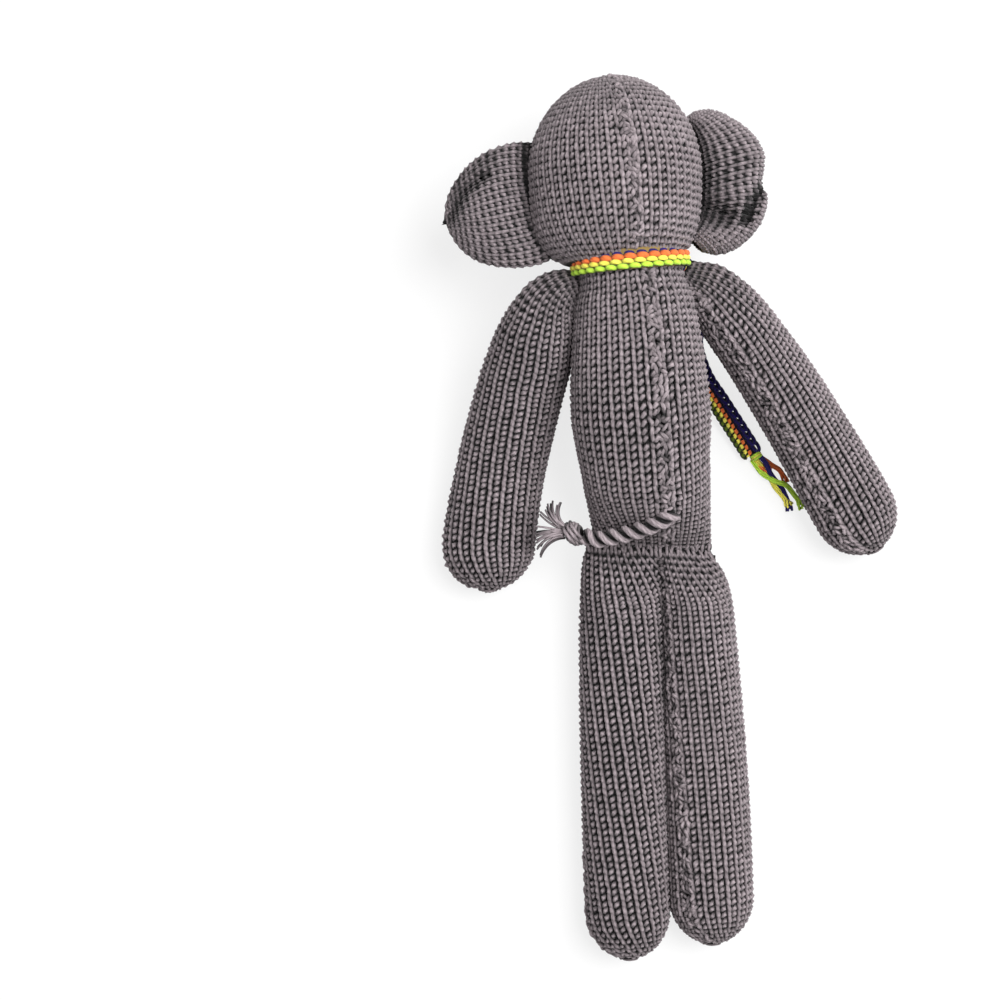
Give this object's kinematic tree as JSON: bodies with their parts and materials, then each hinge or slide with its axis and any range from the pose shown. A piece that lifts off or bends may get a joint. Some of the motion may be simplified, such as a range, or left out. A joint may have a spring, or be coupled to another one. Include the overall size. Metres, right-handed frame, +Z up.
{
  "type": "knitted elephant",
  "caption": "Stuffed knitted elephant with long sewn-on limbs, round ears, trunk, twisted cord tail and a knotted rainbow scarf, lying on its front.",
  "frame": {"origin": "middle of the footprint of the toy, on the surface that it lies on", "axes": "+Y to the crown of the head, +X to the toy's own right side, +Z up, out of its back"},
  "size_m": [0.1998, 0.3808, 0.0854],
  "materials": {
    "grey_yarn": "matt cotton yarn, knitted",
    "filling": "loose polyester wadding",
    "eye_yarn": "embroidered yarn",
    "tusk_yarn": "matt cotton yarn, knitted",
    "scarf_yarn": "knitted stripes of orange, yellow, green and navy yarn"
  },
  "bodies": {
    "torso": {"body_cover": "grey_yarn", "body_filling": "filling", "body_seam": "grey_yarn", "scarf_band": "scarf_yarn", "scarf_knot": "scarf_yarn", "scarf_end_long": "scarf_yarn", "scarf_tassel_long": "scarf_yarn", "scarf_end_short": "scarf_yarn", "scarf_tassel_short": "scarf_yarn"},
    "neck": {"body_gather": "grey_yarn"},
    "head": {"head_cover": "grey_yarn", "head_filling": "filling", "head_seam": "grey_yarn", "eye_right": "eye_yarn", "tusk_right": "tusk_yarn", "eye_left": "eye_yarn", "tusk_left": "tusk_yarn"},
    "ear_left": {"ear_left_back": "grey_yarn", "ear_left_front": "grey_yarn", "ear_left_filling": "filling"},
    "ear_right": {"ear_right_back": "grey_yarn", "ear_right_front": "grey_yarn", "ear_right_filling": "filling"},
    "trunk": {"trunk_cover": "grey_yarn", "trunk_filling": "filling", "trunk_gather": "grey_yarn"},
    "arm_left": {"arm_left_cover": "grey_yarn", "arm_left_filling": "filling", "arm_left_gather": "grey_yarn", "arm_left_seam": "grey_yarn"},
    "arm_right": {"arm_right_cover": "grey_yarn", "arm_right_filling": "filling", "arm_right_gather": "grey_yarn", "arm_right_seam": "grey_yarn"},
    "leg_left": {"leg_left_cover": "grey_yarn", "leg_left_filling": "filling", "leg_left_gather": "grey_yarn", "leg_left_seam": "grey_yarn"},
    "leg_right": {"leg_right_cover": "grey_yarn", "leg_right_filling": "filling", "leg_right_gather": "grey_yarn", "leg_right_seam": "grey_yarn"},
    "tail": {"tail_cord": "grey_yarn", "tail_knot": "grey_yarn", "tail_fringe": "grey_yarn"}
  },
  "joints": [
    {"name": "head_turn", "type": "hinge", "parent": "torso", "child": "neck", "pos_m": [-0.01895, 0.11475, 0.05], "axis": [-0.0935, 0.9956, 0], "range_deg": [-15, 15], "deforming": ["scarf_end_short", "scarf_tassel_short"]},
    {"name": "head_nod", "type": "hinge", "parent": "neck", "child": "head", "pos_m": [-0.01895, 0.11475, 0.05], "axis": [0.9903, 0.1392, 0], "range_deg": [0, 25], "deforming": ["scarf_band"]},
    {"name": "ear_left_flap", "type": "hinge", "parent": "head", "child": "ear_left", "pos_m": [-0.0598, 0.1398, 0.05], "axis": [-0.2673, 0.9636, 0], "range_deg": [-25, 25], "stiffness_Nm_per_rad": 0.03},
    {"name": "ear_right_flap", "type": "hinge", "parent": "head", "child": "ear_right", "pos_m": [0.01328, 0.15304, 0.05], "axis": [0.0767, -0.9971, 0], "range_deg": [-25, 25], "stiffness_Nm_per_rad": 0.03},
    {"name": "trunk_swing", "type": "hinge", "parent": "head", "child": "trunk", "pos_m": [-0.02324, 0.14525, 0.01479], "axis": [0.9903, 0.1392, 0], "range_deg": [0, 95]},
    {"name": "arm_left_swing", "type": "hinge", "parent": "torso", "child": "arm_left", "pos_m": [-0.04379, 0.08819, 0.05003], "axis": [0.079, 0.9969, 0], "range_deg": [-25, 70]},
    {"name": "arm_right_swing", "type": "hinge", "parent": "torso", "child": "arm_right", "pos_m": [0.0104, 0.09328, 0.05003], "axis": [0.2632, -0.9647, 0], "range_deg": [-25, 70], "deforming": ["scarf_end_long", "scarf_tassel_long"]},
    {"name": "leg_left_swing", "type": "hinge", "parent": "torso", "child": "leg_left", "pos_m": [-0.02106, -0.00811, 0.02513], "axis": [-0.9983, 0.0576, 0], "range_deg": [-85, 40]},
    {"name": "leg_right_swing", "type": "hinge", "parent": "torso", "child": "leg_right", "pos_m": [0.00689, -0.00972, 0.02513], "axis": [-0.9983, 0.0576, 0], "range_deg": [-85, 40]},
    {"name": "tail_lift", "type": "hinge", "parent": "torso", "child": "tail", "pos_m": [-0.00005, 0.00795, 0.0543], "axis": [-0.0935, 0.9956, 0], "range_deg": [0, 70]}
  ]
}
